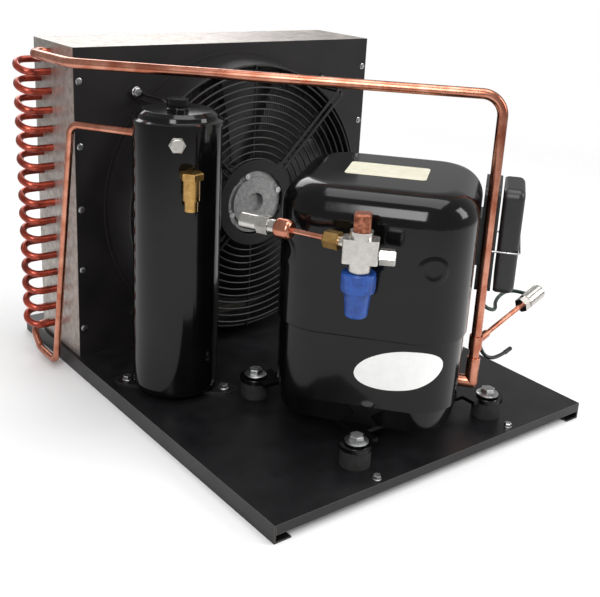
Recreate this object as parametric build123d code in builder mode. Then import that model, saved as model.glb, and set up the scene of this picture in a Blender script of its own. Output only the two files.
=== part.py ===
from build123d import *
import os
from math import cos, pi, radians, sin, tan

# Air-cooled refrigeration condensing unit on a folded base pan.
# Frame: +X along the coil, +Y towards the coil, +Z up. The origin is the centre
# of the four mounting holes, in the plane that the base stands on.

os.makedirs("parts", exist_ok=True)


def label(piece, name):
    piece.label = name
    export_step(piece, f"parts/{name}.step")


def around(centre, radius, angle):
    """Point in plan at a radius and a compass angle, in degrees, about a centre."""
    return (centre[0] + radius * cos(radians(angle)), centre[1] + radius * sin(radians(angle)))


def bent_tube(points, bend, diameter, bore=0.0):
    """Round tube along straight runs joined by arcs."""
    with BuildPart() as tube:
        with BuildLine() as route:
            FilletPolyline(*points, radius=bend)
        with BuildSketch(Plane(origin=route.line @ 0, z_dir=route.line % 0)):
            Circle(diameter / 2)
            if bore:
                Circle(bore / 2, mode=Mode.SUBTRACT)
        sweep()
    return tube.part


def straight_tube(start, end, diameter, bore=0.0):
    """Round tube between two points."""
    run = Vector(*end) - Vector(*start)
    with BuildPart() as tube:
        with BuildSketch(Plane(origin=start, z_dir=run)):
            Circle(diameter / 2)
            if bore:
                Circle(bore / 2, mode=Mode.SUBTRACT)
        extrude(amount=run.length)
    return tube.part


# ---- driving sizes, mm ----
fit = 0.3                      # clearance round fasteners and round fits

base_width = 500.0
base_depth = 640.0
base_sheet = 2.0
base_height = 22.0             # side flange, and the height of the floor's top
base_front_fold = 12.0
base_lip = 22.0                # return lip that the unit is bolted down by
mount_spacing_x = 478.0
mount_spacing_y = 560.0
mount_hole = 9.0
floor = base_height

coil_width = 488.0             # over the side plates
coil_front = 202.0             # front face of the fin pack
coil_depth = 66.0
plate_sheet = 1.5
tube_rows = 16
row_pitch = 25.4
column_pitch = 33.0
tube_diameter = 9.52
bend_reach = 20.0              # straight part of a return bend outside its plate

shroud_front = 146.0
shroud_sheet = 1.2
screw_inset = 7.0
screw_rows = 5
screw_shank = 4.8
screw_head = 9.0
screw_head_height = 2.6
screw_length = 6.0

fan_x = 0.0
fan_z = 228.0
ring_base_radius = 197.0
ring_mouth_radius = 190.0
ring_depth = 48.0
ring_wall = 1.5
blade_tip_radius = 181.0
blade_count = 5
blade_sheet = 2.0
blade_pitch = 26.0
hub_radius = 40.0
hub_depth = 24.0
motor_radius = 44.5
motor_depth = 46.0
motor_front = 86.0
shaft_diameter = 8.0
guard_wire = 3.0
guard_pitch = 10.0
guard_inner_radius = 52.0
arm_wire = 4.0
arm_spacing = 9.0
arm_reach = 212.0
arm_eye_offset = 10.0

receiver_at = (-177.0, 3.0)
receiver_diameter = 108.0
receiver_wall = 2.5
receiver_seam = 372.0          # height of the upper weld lip
receiver_boss_top = 400.0
receiver_bolt_radius = 64.0
receiver_bolt_angle = 137.0

compressor_at = (8.0, -172.0)
foot_spacing_x = 220.0
foot_spacing_y = 200.0
shell_side = 226.0
shell_corner = 60.0
shell_turn = -140.0            # compass angle that the suction face looks to
shell_wall = 3.0
shell_seam = 172.0
shell_top = 331.0
seam_overlap = 9.0
grommet_height = 22.0
grommet_diameter = 36.0
plate_thickness = 5.0

discharge_diameter = 12.7
entry_height = 78.0            # where the line sits down in the compressor's stub
entry_along = 13.0
foot_clearance = 12.0
reducer_radius = 8.2
stub_height = entry_height - 10.0
liquid_diameter = 9.52
gauge_diameter = 6.35

# ---- base ----
with BuildPart() as base_pan:
    with BuildSketch(Plane.XY.offset(floor - base_sheet)):
        Rectangle(base_width, base_depth)
    extrude(amount=base_sheet)
    with BuildSketch():
        with Locations((-(base_width - base_sheet) / 2, 0), ((base_width - base_sheet) / 2, 0)):
            Rectangle(base_sheet, base_depth)
    extrude(amount=base_height)
    with BuildSketch():
        with Locations((-(base_width - base_lip) / 2, 0), ((base_width - base_lip) / 2, 0)):
            Rectangle(base_lip, base_depth)
        with GridLocations(mount_spacing_x, mount_spacing_y, 2, 2):
            Circle(mount_hole / 2, mode=Mode.SUBTRACT)
    extrude(amount=base_sheet)
    with BuildSketch(Plane.XY.offset(base_height - base_front_fold)):
        with Locations((0, -(base_depth - base_sheet) / 2), (0, (base_depth - base_sheet) / 2)):
            Rectangle(base_width - 2 * base_sheet - 2 * fit, base_sheet)
    extrude(amount=base_front_fold)
label(base_pan.part, "base_pan")

# ---- condenser coil ----
coil_back = coil_front + coil_depth
coil_height = tube_rows * row_pitch + row_pitch / 2
coil_bottom = floor + plate_sheet
coil_top = coil_bottom + coil_height
coil_middle = (coil_front + coil_back) / 2
front_column = coil_middle - column_pitch / 2
back_column = coil_middle + column_pitch / 2
first_row = coil_bottom + row_pitch / 2
casing_depth = coil_back - shroud_front - shroud_sheet
casing_middle = coil_back - casing_depth / 2
plate_inside = coil_width / 2 - plate_sheet

shroud_height = coil_height + 2 * plate_sheet

front_tubes = [(front_column, first_row + (i + 0.5) * row_pitch) for i in range(tube_rows)]
back_tubes = [(back_column, first_row + i * row_pitch) for i in range(tube_rows)]

with BuildPart() as coil_fin_pack:
    with BuildSketch(Plane.XY.offset(coil_bottom)):
        with Locations((0, coil_middle)):
            Rectangle(2 * plate_inside - 2 * fit, coil_depth - 2 * plate_sheet)
    extrude(amount=coil_height)
label(coil_fin_pack.part, "coil_fin_pack")


def shroud_plane(y):
    """Upright plane across the unit at a depth y, centred on the shroud and looking to the front."""
    return Plane(origin=(0, y, floor + shroud_height / 2), x_dir=(1, 0, 0), z_dir=(0, -1, 0))


def shroud_screw_holes():
    """Screw holes down both edges of the shroud."""
    with GridLocations(coil_width - 2 * screw_inset, shroud_height / screw_rows, 2, screw_rows):
        Circle(screw_shank / 2 + fit)


def side_plate(side):
    """Galvanised end plate, a channel with its flanges turned in, and a hole for each tube."""
    flange = 12.0
    edge = side * (plate_inside + plate_sheet / 2)
    with BuildPart() as plate:
        with BuildSketch(Plane.XY.offset(coil_bottom)):
            with Locations((edge, casing_middle)):
                Rectangle(plate_sheet, casing_depth)
            for across in (coil_back - plate_sheet / 2, coil_back - casing_depth + plate_sheet / 2):
                with Locations((side * (plate_inside - flange / 2), across)):
                    Rectangle(flange, plate_sheet)
        extrude(amount=coil_height)
        with BuildSketch(Plane.YZ.offset(edge - plate_sheet)):
            with Locations(*front_tubes, *back_tubes):
                Circle(tube_diameter / 2 + fit)
        extrude(amount=2 * plate_sheet, mode=Mode.SUBTRACT)
        with BuildSketch(shroud_plane(shroud_front + shroud_sheet + 2 * plate_sheet)):
            shroud_screw_holes()
        extrude(amount=3 * plate_sheet, mode=Mode.SUBTRACT)
    return plate.part


label(Compound(children=[side_plate(-1), side_plate(1)]), "coil_side_plates")

with BuildPart() as coil_bottom_plate:
    with BuildSketch(Plane.XY.offset(floor)):
        with Locations((0, casing_middle)):
            Rectangle(coil_width, casing_depth)
    extrude(amount=plate_sheet)
label(coil_bottom_plate.part, "coil_bottom_plate")

with BuildPart() as coil_top_plate:
    with BuildSketch(Plane.XY.offset(coil_top)):
        with Locations((0, casing_middle)):
            Rectangle(coil_width, casing_depth)
    extrude(amount=plate_sheet)
label(coil_top_plate.part, "coil_top_plate")


def return_bend(first, second, side):
    """U-bend that joins two tubes outside an end plate."""
    inner = side * (plate_inside + fit)
    outer = side * (coil_width / 2 + bend_reach)
    gap = Vector(0, second[0] - first[0], second[1] - first[1])
    radius = gap.length / 2
    middle = Vector(outer, (first[0] + second[0]) / 2, (first[1] + second[1]) / 2)
    with BuildPart() as bend:
        with BuildLine() as route:
            Line((inner, *first), (outer, *first))
            ThreePointArc((outer, *first), middle + Vector(side * radius, 0, 0), (outer, *second))
            Line((outer, *second), (inner, *second))
        with BuildSketch(Plane(origin=(inner, *first), z_dir=(side, 0, 0))):
            Circle(tube_diameter / 2)
        sweep()
    return bend.part


left_bends = [return_bend(front_tubes[i], back_tubes[i + 1], -1) for i in range(tube_rows - 1)]
right_bends = [return_bend(front_tubes[i], back_tubes[i], 1) for i in range(tube_rows)]
inlet_stub_end = coil_width / 2 + 7.0
inlet_stub = straight_tube((-(plate_inside + fit), *front_tubes[-1]),
                           (-inlet_stub_end, *front_tubes[-1]), tube_diameter)
label(Compound(children=[*left_bends, *right_bends, inlet_stub]), "return_bends")

# ---- fan shroud, ring and guard ----
def fan_plane(y):
    """Upright plane across the fan's axis at a depth y, looking to the front."""
    return Plane(origin=(fan_x, y, fan_z), x_dir=(1, 0, 0), z_dir=(0, -1, 0))


ring_flange = 8.0
ring_mouth = shroud_front - ring_depth
ring_bead = 4.0
arm_bolt = 6.0

with BuildPart() as fan_shroud:
    with BuildSketch(shroud_plane(shroud_front + shroud_sheet)):
        Rectangle(coil_width, shroud_height)
        with GridLocations(coil_width - 2 * screw_inset, shroud_height / screw_rows, 2, screw_rows):
            Circle(screw_shank / 2 + fit, mode=Mode.SUBTRACT)
    extrude(amount=shroud_sheet)
    with BuildSketch(fan_plane(shroud_front + shroud_sheet)):
        Circle(ring_base_radius - ring_flange)
        with PolarLocations(arm_reach + arm_eye_offset, 4, start_angle=45):
            Circle(arm_bolt / 2 + fit)
    extrude(amount=shroud_sheet, mode=Mode.SUBTRACT)
label(fan_shroud.part, "fan_shroud")

with BuildPart() as shroud_screws:
    with BuildSketch(shroud_plane(shroud_front)):
        with GridLocations(coil_width - 2 * screw_inset, shroud_height / screw_rows, 2, screw_rows):
            Circle(screw_head / 2)
    extrude(amount=screw_head_height)
    with BuildSketch(shroud_plane(shroud_front)):
        with GridLocations(coil_width - 2 * screw_inset, shroud_height / screw_rows, 2, screw_rows):
            Circle(screw_shank / 2)
    extrude(amount=-screw_length)
    chamfer(shroud_screws.faces().sort_by(Axis.Y)[:10].edges(), length=0.8)
label(shroud_screws.part, "shroud_screws")

# The ring is a rolled cone: a flange against the shroud, the wall, and a bead at the mouth.
with BuildPart() as fan_ring:
    with BuildSketch(Plane(origin=(fan_x, shroud_front, fan_z), x_dir=(1, 0, 0), z_dir=(0, 0, 1))):
        with BuildLine():
            Polyline(
                (ring_base_radius + ring_flange, 0),
                (ring_base_radius + ring_flange, -ring_wall),
                (ring_base_radius + ring_wall, -ring_wall),
                (ring_mouth_radius + ring_wall, -ring_depth),
                (ring_mouth_radius, -ring_depth),
                (ring_base_radius, 0),
                close=True,
            )
        make_face()
        with Locations((ring_mouth_radius + ring_wall / 2, -ring_depth)):
            Circle(ring_bead / 2)
    revolve(axis=Axis((fan_x, 0, fan_z), (0, 1, 0)))
label(fan_ring.part, "fan_ring")

# Guard: concentric wires on four ribs that end on the ring's bead.
guard_back = ring_mouth - ring_bead / 2
guard_rings = int((ring_mouth_radius - guard_inner_radius) / guard_pitch)

with BuildPart() as fan_guard:
    with BuildSketch(fan_plane(guard_back - guard_wire)):
        for i in reversed(range(guard_rings + 1)):
            Circle(guard_inner_radius + i * guard_pitch + guard_wire / 2)
            Circle(guard_inner_radius + i * guard_pitch - guard_wire / 2, mode=Mode.SUBTRACT)
    extrude(amount=guard_wire)
    rib_length = ring_mouth_radius + ring_wall + guard_wire - guard_inner_radius
    with BuildSketch(fan_plane(guard_back)):
        with PolarLocations(guard_inner_radius + rib_length / 2, 4):
            Rectangle(rib_length, guard_wire)
    extrude(amount=guard_wire)
label(fan_guard.part, "fan_guard")

# Motor arms: four pairs of wires from the motor's plate, bent back to eyes on the shroud.
guard_front = guard_back - 2 * guard_wire
motor_plate_thickness = 2.5
motor_plate_radius = 62.0
arm_front = guard_front - arm_wire
arm_turn = 8.0


def motor_arm(angle):
    """One pair of arm wires, joined by the eye that is bolted to the shroud."""
    direction = Vector(cos(radians(angle)), 0, sin(radians(angle)))
    across = Vector(-sin(radians(angle)), 0, cos(radians(angle)))
    centre = Vector(fan_x, arm_front + arm_wire / 2, fan_z)
    with BuildPart() as arm:
        for side in (-1, 1):
            start = centre + direction * (guard_inner_radius + 2) + across * side * arm_spacing / 2
            corner = centre + direction * arm_reach + across * side * arm_spacing / 2
            foot = corner + Vector(0, shroud_front - arm_foot_sheet / 2 - centre.Y, 0)
            with BuildLine() as route:
                FilletPolyline(start, corner, foot, radius=arm_turn)
            with BuildSketch(Plane(origin=start, z_dir=direction)):
                Circle(arm_wire / 2)
            sweep()
        foot_plane = Plane(origin=(fan_x, shroud_front, fan_z), x_dir=direction, z_dir=(0, -1, 0))
        with BuildSketch(foot_plane):
            with Locations((arm_reach + arm_eye_offset / 2, 0)):
                Rectangle(arm_eye_offset + 14, arm_spacing + arm_wire + 1.6)
        extrude(amount=arm_foot_sheet)
        with BuildSketch(foot_plane):
            with Locations((arm_reach + arm_eye_offset, 0)):
                Circle(arm_bolt / 2 + fit)
        extrude(amount=arm_foot_sheet, mode=Mode.SUBTRACT)
    return arm.part


arm_foot_sheet = 2.0
arm_angles = [45 + 90 * i for i in range(4)]
motor_arms = [motor_arm(angle) for angle in arm_angles]

arm_bolt_head = 13.0
arm_bolt_head_height = 6.0
with BuildPart() as arm_bolts:
    bolt_seat = shroud_front - arm_foot_sheet
    with BuildSketch(fan_plane(bolt_seat)):
        with PolarLocations(arm_reach + arm_eye_offset, 4, start_angle=45):
            Circle(arm_bolt_head / 2)
    extrude(amount=arm_bolt_head_height)
    fillet(arm_bolts.faces().sort_by(Axis.Y)[:4].edges(), radius=2.5)
    with BuildSketch(fan_plane(bolt_seat)):
        with PolarLocations(arm_reach + arm_eye_offset, 4, start_angle=45):
            Circle(arm_bolt / 2)
    extrude(amount=-(arm_foot_sheet + shroud_sheet + 8))
label(arm_bolts.part, "arm_bolts")

# ---- fan motor and impeller ----
motor_back = motor_front + motor_depth
motor_screw = 4.0
motor_lug_radius = motor_radius - 5.0
motor_recess_radius = 14.0
shell_front = motor_front + 11.0

with BuildPart() as motor_end_cap:
    with BuildSketch(fan_plane(shell_front)):
        Circle(motor_radius)
    extrude(amount=shell_front - motor_front - 3)
    with BuildSketch(fan_plane(motor_front + 3)):
        Circle(motor_radius - 7)
    extrude(amount=3, taper=20)
    with BuildSketch(fan_plane(shell_front)):
        with PolarLocations(motor_lug_radius + 2, 4, start_angle=20):
            Circle(8)
    extrude(amount=shell_front - motor_front - 2)
    with BuildSketch(fan_plane(motor_front)):
        Circle(motor_recess_radius)
    extrude(amount=-7, mode=Mode.SUBTRACT)
    with BuildSketch(fan_plane(motor_front)):
        with PolarLocations(motor_lug_radius + 2, 4, start_angle=20):
            Circle(motor_screw / 2 + fit)
    extrude(amount=-20, mode=Mode.SUBTRACT)
label(motor_end_cap.part, "motor_end_cap")

with BuildPart() as motor_screws:
    with BuildSketch(fan_plane(motor_front + 2)):
        with PolarLocations(motor_lug_radius + 2, 4, start_angle=20):
            Circle(4.2)
    extrude(amount=3)
    with BuildSketch(fan_plane(motor_front + 2)):
        with PolarLocations(motor_lug_radius + 2, 4, start_angle=20):
            Circle(motor_screw / 2)
    extrude(amount=-(shell_front - motor_front - 2))
label(motor_screws.part, "motor_screws")

with BuildPart() as motor_shell:
    with BuildSketch(fan_plane(motor_back)):
        Circle(motor_radius - 1)
        with PolarLocations(motor_radius - 1, 24):
            Rectangle(5, 3)
        Circle(motor_radius - 9, mode=Mode.SUBTRACT)
    extrude(amount=motor_depth - (shell_front - motor_front))
    with BuildSketch(fan_plane(motor_back)):
        Circle(motor_radius - 1)
        Circle(shaft_diameter / 2 + 0.05, mode=Mode.SUBTRACT)
    extrude(amount=6)
label(motor_shell.part, "motor_shell")

with BuildPart() as motor_stator:
    with BuildSketch(fan_plane(motor_back - 8)):
        Circle(motor_radius - 9)
        Circle(20.5, mode=Mode.SUBTRACT)
    extrude(amount=20)
label(motor_stator.part, "motor_stator")

# Motor frame: the four pairs of arms, welded to the plate that the motor is held in.
with BuildPart() as motor_frame:
    add(motor_arms)
    with BuildSketch(fan_plane(arm_front + 0.2)):
        Circle(motor_plate_radius)
        Circle(motor_radius + 2, mode=Mode.SUBTRACT)
        with PolarLocations(motor_radius + 1, 4, start_angle=45):
            Rectangle(8, 10)
        Circle(motor_radius - 1 + 1.5, mode=Mode.SUBTRACT)
    extrude(amount=motor_plate_thickness)
label(motor_frame.part, "motor_frame")

with BuildPart() as fan_shaft:
    with BuildSketch(fan_plane(motor_back + hub_depth + 10)):
        Circle(shaft_diameter / 2)
    extrude(amount=hub_depth + 10 + motor_depth - 22)
    with BuildSketch(fan_plane(motor_back - 8)):
        Circle(20)
    extrude(amount=20)
label(fan_shaft.part, "fan_shaft")

# Impeller: a moulded hub with cambered blades, keyed to the shaft and held by a nut.
hub_front = motor_back + 2.0
hub_back = hub_front + hub_depth
hub_middle = (hub_front + hub_back) / 2
blade_camber_radius = 95.0
blade_sweep = 54.0
blade_chord = (0, -sin(radians(blade_pitch)), cos(radians(blade_pitch)))
blade_section = Plane(origin=(fan_x, hub_middle, fan_z), z_dir=(1, 0, 0), x_dir=blade_chord)

with BuildPart() as blade:
    with BuildSketch(blade_section):
        with Locations((0, -blade_camber_radius)):
            Circle(blade_camber_radius + blade_sheet / 2)
            Circle(blade_camber_radius - blade_sheet / 2, mode=Mode.SUBTRACT)
        Rectangle(150, 70, mode=Mode.INTERSECT)
    extrude(amount=blade_tip_radius)
    with BuildSketch(fan_plane(hub_middle + 50)):
        with BuildLine():
            tip = CenterArc((0, 0), blade_tip_radius, -blade_sweep / 2, blade_sweep)
            root = CenterArc((0, 0), hub_radius - 2, -28, 56)
            Line(tip @ 0, root @ 0)
            Line(tip @ 1, root @ 1)
        make_face()
    extrude(amount=100, mode=Mode.INTERSECT)

with BuildPart() as fan_impeller:
    with BuildSketch(fan_plane(hub_back)):
        Circle(hub_radius)
    extrude(amount=hub_depth)
    fillet(fan_impeller.faces().sort_by(Axis.Y)[0].edges(), radius=5)
    for i in range(blade_count):
        add(blade.part.rotate(Axis((fan_x, 0, fan_z), (0, 1, 0)), i * 360 / blade_count))
    with BuildSketch(fan_plane(hub_back + 1)):
        Circle(shaft_diameter / 2)
    extrude(amount=hub_depth + 2, mode=Mode.SUBTRACT)
label(fan_impeller.part, "fan_impeller")

with BuildPart() as fan_nut:
    with BuildSketch(fan_plane(hub_back + 7)):
        RegularPolygon(8, 6)
        Circle(shaft_diameter / 2, mode=Mode.SUBTRACT)
    extrude(amount=7)
label(fan_nut.part, "fan_nut")

# ---- liquid receiver ----
receiver_radius = receiver_diameter / 2
receiver_foot_sheet = 3.0
receiver_bottom = floor + receiver_foot_sheet
bottom_dome = 14.0
top_dome = 16.0
boss_radius = 13.0
inlet_angle = 122.0
inlet_height = 352.0
valve_angle = -107.0
valve_height = 308.0
plug_angle = -121.0
plug_height = valve_height + 48.0
valve_stub_radius = 6.0
plug_stub_radius = 6.5
foot_bar_width = 30.0


def receiver_plane(angle, height, radius):
    """Plane square to the receiver's wall, looking out."""
    x, y = around(receiver_at, radius, angle)
    return Plane(origin=(x, y, height), z_dir=(cos(radians(angle)), sin(radians(angle)), 0),
                 x_dir=(-sin(radians(angle)), cos(radians(angle)), 0))


receiver_holes = [
    (inlet_angle, inlet_height, liquid_diameter / 2),
    (valve_angle, valve_height, valve_stub_radius),
    (plug_angle, plug_height, plug_stub_radius),
]

with BuildPart() as receiver_shell:
    with BuildSketch(Plane.XY.offset(receiver_bottom)):
        with Locations(receiver_at):
            Circle(receiver_radius)
    extrude(amount=receiver_seam - receiver_bottom)
    fillet(receiver_shell.faces().sort_by(Axis.Z)[0].edges(), radius=bottom_dome)
    with BuildSketch(Plane.XY.offset(receiver_bottom + receiver_wall)):
        with Locations(receiver_at):
            Circle(receiver_radius - receiver_wall)
    inside = extrude(amount=receiver_seam - receiver_bottom, mode=Mode.PRIVATE)
    add(inside.fillet(bottom_dome - receiver_wall, inside.faces().sort_by(Axis.Z)[0].edges()),
        mode=Mode.SUBTRACT)
    for angle, height, radius in receiver_holes:
        with BuildSketch(receiver_plane(angle, height, receiver_radius + 2)):
            Circle(radius)
        extrude(amount=-(receiver_wall + 6), mode=Mode.SUBTRACT)
label(receiver_shell.part, "receiver_shell")

with BuildPart() as receiver_cap:
    with BuildSketch(Plane.XZ):
        with BuildLine():
            Polyline(
                (0, receiver_seam),
                (receiver_radius + 1.5, receiver_seam),
                (receiver_radius + 1.5, receiver_seam + 5),
                (receiver_radius - 4, receiver_seam + 7),
                (receiver_radius - 6, receiver_seam + top_dome - 4),
                (receiver_radius - 12, receiver_seam + top_dome),
                (boss_radius, receiver_seam + top_dome + 1),
                (boss_radius, receiver_boss_top),
                (0, receiver_boss_top),
                close=True,
            )
        make_face()
    revolve(axis=Axis.Z)
    fillet(receiver_cap.edges().filter_by(GeomType.CIRCLE).sort_by(Axis.Z)[2:6], radius=1.5)
    with BuildSketch(Plane.XY.offset(receiver_seam)):
        Circle(receiver_radius - receiver_wall)
    extrude(amount=3, mode=Mode.SUBTRACT)
receiver_cap.part.position = (*receiver_at, 0)
label(receiver_cap.part, "receiver_cap")

with BuildPart() as receiver_foot:
    with BuildSketch(Plane.XY.offset(floor)):
        with Locations(Location((*receiver_at, 0), (0, 0, receiver_bolt_angle))):
            SlotOverall(2 * receiver_bolt_radius + foot_bar_width, foot_bar_width)
            with GridLocations(2 * receiver_bolt_radius, 1, 2, 1):
                Circle(4 + fit, mode=Mode.SUBTRACT)
    extrude(amount=receiver_foot_sheet)
label(receiver_foot.part, "receiver_foot")

with BuildPart() as receiver_bolts:
    with BuildSketch(Plane.XY.offset(floor + receiver_foot_sheet)):
        with Locations(Location((*receiver_at, 0), (0, 0, receiver_bolt_angle))):
            with GridLocations(2 * receiver_bolt_radius, 1, 2, 1):
                RegularPolygon(7, 6)
    extrude(amount=6)
    with BuildSketch(Plane.XY.offset(floor)):
        with Locations(Location((*receiver_at, 0), (0, 0, receiver_bolt_angle))):
            with GridLocations(2 * receiver_bolt_radius, 1, 2, 1):
                Circle(4)
    extrude(amount=receiver_foot_sheet)
label(receiver_bolts.part, "receiver_bolts")

# ---- liquid outlet valve on the receiver ----
valve_reach = receiver_radius + 15.0
valve_body_radius = 10.0
valve_top = valve_height + 11.0
valve_bottom = valve_height - 14.0
outlet_radius = 7.94
outlet_length = 13.0
outlet_bore = 3.6
valve_x, valve_y = around(receiver_at, valve_reach, valve_angle)

with BuildPart() as liquid_valve_body:
    with BuildSketch(Plane.XY.offset(valve_bottom)):
        with Locations((valve_x, valve_y)):
            Circle(valve_body_radius)
    extrude(amount=valve_top - valve_bottom)
    with BuildSketch(Plane.XY.offset(valve_bottom - outlet_length)):
        with Locations((valve_x, valve_y)):
            Circle(outlet_radius)
    extrude(amount=outlet_length)
    with BuildSketch(receiver_plane(valve_angle, valve_height, receiver_radius - receiver_wall)):
        Circle(valve_stub_radius)
    extrude(amount=valve_reach - receiver_radius + receiver_wall)
    with BuildSketch(Plane.XY.offset(valve_bottom - outlet_length)):
        with Locations((valve_x, valve_y)):
            Circle(outlet_bore)
    extrude(amount=outlet_length + 8, mode=Mode.SUBTRACT)
    with BuildSketch(Plane.XY.offset(valve_top)):
        with Locations((valve_x, valve_y)):
            Circle(4 + 0.1)
    extrude(amount=-14, mode=Mode.SUBTRACT)
label(liquid_valve_body.part, "liquid_valve_body")

with BuildPart() as liquid_valve_stem:
    with BuildSketch(Plane.XY.offset(valve_top - 12)):
        with Locations((valve_x, valve_y)):
            Circle(4)
    extrude(amount=12)
    with BuildSketch(Plane.XY.offset(valve_top)):
        with Locations((valve_x, valve_y)):
            Rectangle(5, 5)
    extrude(amount=5)
label(liquid_valve_stem.part, "liquid_valve_stem")

cap_flat = 14.5
cap_bore_radius = 6.0
with BuildPart() as liquid_valve_cap:
    with BuildSketch(Plane.XY.offset(valve_top + fit)):
        with Locations((valve_x, valve_y)):
            RegularPolygon(cap_flat, 6, rotation=valve_angle)
    extrude(amount=8)
    chamfer(liquid_valve_cap.faces().sort_by(Axis.Z)[-1].edges(), length=1)
    with BuildSketch(Plane.XY.offset(valve_top + fit)):
        with Locations((valve_x, valve_y)):
            Circle(cap_bore_radius)
    extrude(amount=6, mode=Mode.SUBTRACT)
label(liquid_valve_cap.part, "liquid_valve_cap")

plug_head_radius = 10.0
with BuildPart() as fusible_plug:
    with BuildSketch(receiver_plane(plug_angle, plug_height, receiver_radius - receiver_wall)):
        Circle(plug_stub_radius)
    extrude(amount=receiver_wall + 1.5)
    with BuildSketch(receiver_plane(plug_angle, plug_height, receiver_radius + 1.2)):
        RegularPolygon(plug_head_radius, 6)
    extrude(amount=4)
    with BuildSketch(receiver_plane(plug_angle, plug_height, receiver_radius + 5.2)):
        Circle(plug_head_radius - 2)
    extrude(amount=4)
    fillet(fusible_plug.faces().sort_by(Axis.Y)[0].edges(), radius=1.5)
label(fusible_plug.part, "fusible_plug")

# ---- compressor ----
plate_bottom = floor + grommet_height
plate_top = plate_bottom + plate_thickness
sleeve_diameter = 12.0
foot_bolt = 8.0
foot_radius = 20.0
normal_angle = shell_turn + 90          # compass angle of the side that carries the terminals
foot_grid = (foot_spacing_x, foot_spacing_y, 2, 2)


def shell_outline(grow=0.0):
    """Rounded square of the compressor's shell, turned to its suction face."""
    with Locations(compressor_at):
        RectangleRounded(shell_side + 2 * grow, shell_side + 2 * grow, shell_corner + grow,
                         rotation=shell_turn)


def face_plane(angle, height, reach, along=0.0):
    """Plane parallel to a shell face, looking out, with x along the face and y up."""
    x, y = around(compressor_at, reach, angle)
    side = (-sin(radians(angle)), cos(radians(angle)))
    return Plane(origin=(x + along * side[0], y + along * side[1], height),
                 x_dir=(*side, 0), z_dir=(cos(radians(angle)), sin(radians(angle)), 0))


with BuildPart() as compressor_lower_shell:
    with BuildSketch(Plane.XY.offset(plate_top)):
        shell_outline(-seam_overlap)
    with BuildSketch(Plane.XY.offset(plate_top + 26)):
        shell_outline(-shell_wall)
    loft()
    with BuildSketch(Plane.XY.offset(plate_top + 26)):
        shell_outline(-shell_wall)
    extrude(amount=shell_seam - plate_top - 26)
    with BuildSketch(Plane.XY.offset(plate_top + shell_wall)):
        shell_outline(-seam_overlap - shell_wall)
    with BuildSketch(Plane.XY.offset(plate_top + 26)):
        shell_outline(-2 * shell_wall)
    loft(mode=Mode.SUBTRACT)
    with BuildSketch(Plane.XY.offset(plate_top + 26)):
        shell_outline(-2 * shell_wall)
    extrude(amount=shell_seam - plate_top - 26, mode=Mode.SUBTRACT)
    with BuildSketch(face_plane(normal_angle, stub_height, shell_side / 2, entry_along)):
        Circle(reducer_radius)
    extrude(amount=-(shell_wall + 8), mode=Mode.SUBTRACT)
label(compressor_lower_shell.part, "compressor_lower_shell")

box_bottom = 182.0
box_top = 316.0
box_near = 28.0
box_width = 84.0
box_depth = 50.0
box_base_depth = 20.0
box_wall = 2.0
box_middle = box_near + box_width / 2
box_height = box_top - box_bottom

crown_fillet = 34.0
with BuildPart() as compressor_upper_shell:
    with BuildSketch(Plane.XY.offset(shell_seam - seam_overlap)):
        shell_outline()
    extrude(amount=shell_top - shell_seam + seam_overlap)
    fillet(compressor_upper_shell.faces().sort_by(Axis.Z)[-1].edges(), radius=crown_fillet)
    with BuildSketch(Plane.XY.offset(shell_seam)):
        shell_outline(-shell_wall)
    hollow = extrude(amount=shell_top - shell_seam - shell_wall, mode=Mode.PRIVATE)
    add(hollow.fillet(crown_fillet - shell_wall, hollow.faces().sort_by(Axis.Z)[-1].edges()),
        mode=Mode.SUBTRACT)
    with BuildSketch(Plane.XY.offset(shell_seam - seam_overlap)):
        shell_outline(-shell_wall)
    extrude(amount=seam_overlap, mode=Mode.SUBTRACT)
    bracket_height = (box_bottom + box_top) / 2
    with BuildSketch(face_plane(normal_angle, bracket_height, shell_side / 2 - 1, box_middle - 20)):
        Rectangle(box_width - 30, 60)
    extrude(amount=3)
label(compressor_upper_shell.part, "compressor_upper_shell")

with BuildPart() as compressor_foot_plate:
    with BuildSketch(Plane.XY.offset(plate_bottom)):
        with Locations(compressor_at):
            Rectangle(foot_spacing_x - 30, foot_spacing_y - 30)
            with GridLocations(*foot_grid):
                Circle(foot_radius)
            with GridLocations(foot_spacing_x - 24, foot_spacing_y - 24, 2, 2):
                Rectangle(34, 34)
            with GridLocations(*foot_grid):
                Circle(sleeve_diameter / 2 + fit, mode=Mode.SUBTRACT)
    extrude(amount=plate_thickness)
label(compressor_foot_plate.part, "compressor_foot_plate")

with BuildPart() as compressor_grommets:
    with BuildSketch(Plane.XY.offset(floor)):
        with Locations(compressor_at):
            with GridLocations(*foot_grid):
                Circle(grommet_diameter / 2)
                Circle(sleeve_diameter / 2 + fit, mode=Mode.SUBTRACT)
    extrude(amount=grommet_height)
    chamfer(compressor_grommets.faces().group_by(Axis.Z)[-1].edges(), length=1.0)
label(compressor_grommets.part, "compressor_grommets")

sleeve_top = plate_top + 2.0
with BuildPart() as compressor_sleeves:
    with BuildSketch(Plane.XY.offset(floor)):
        with Locations(compressor_at):
            with GridLocations(*foot_grid):
                Circle(sleeve_diameter / 2)
                Circle(foot_bolt / 2 + fit, mode=Mode.SUBTRACT)
    extrude(amount=sleeve_top - floor)
label(compressor_sleeves.part, "compressor_sleeves")

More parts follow.
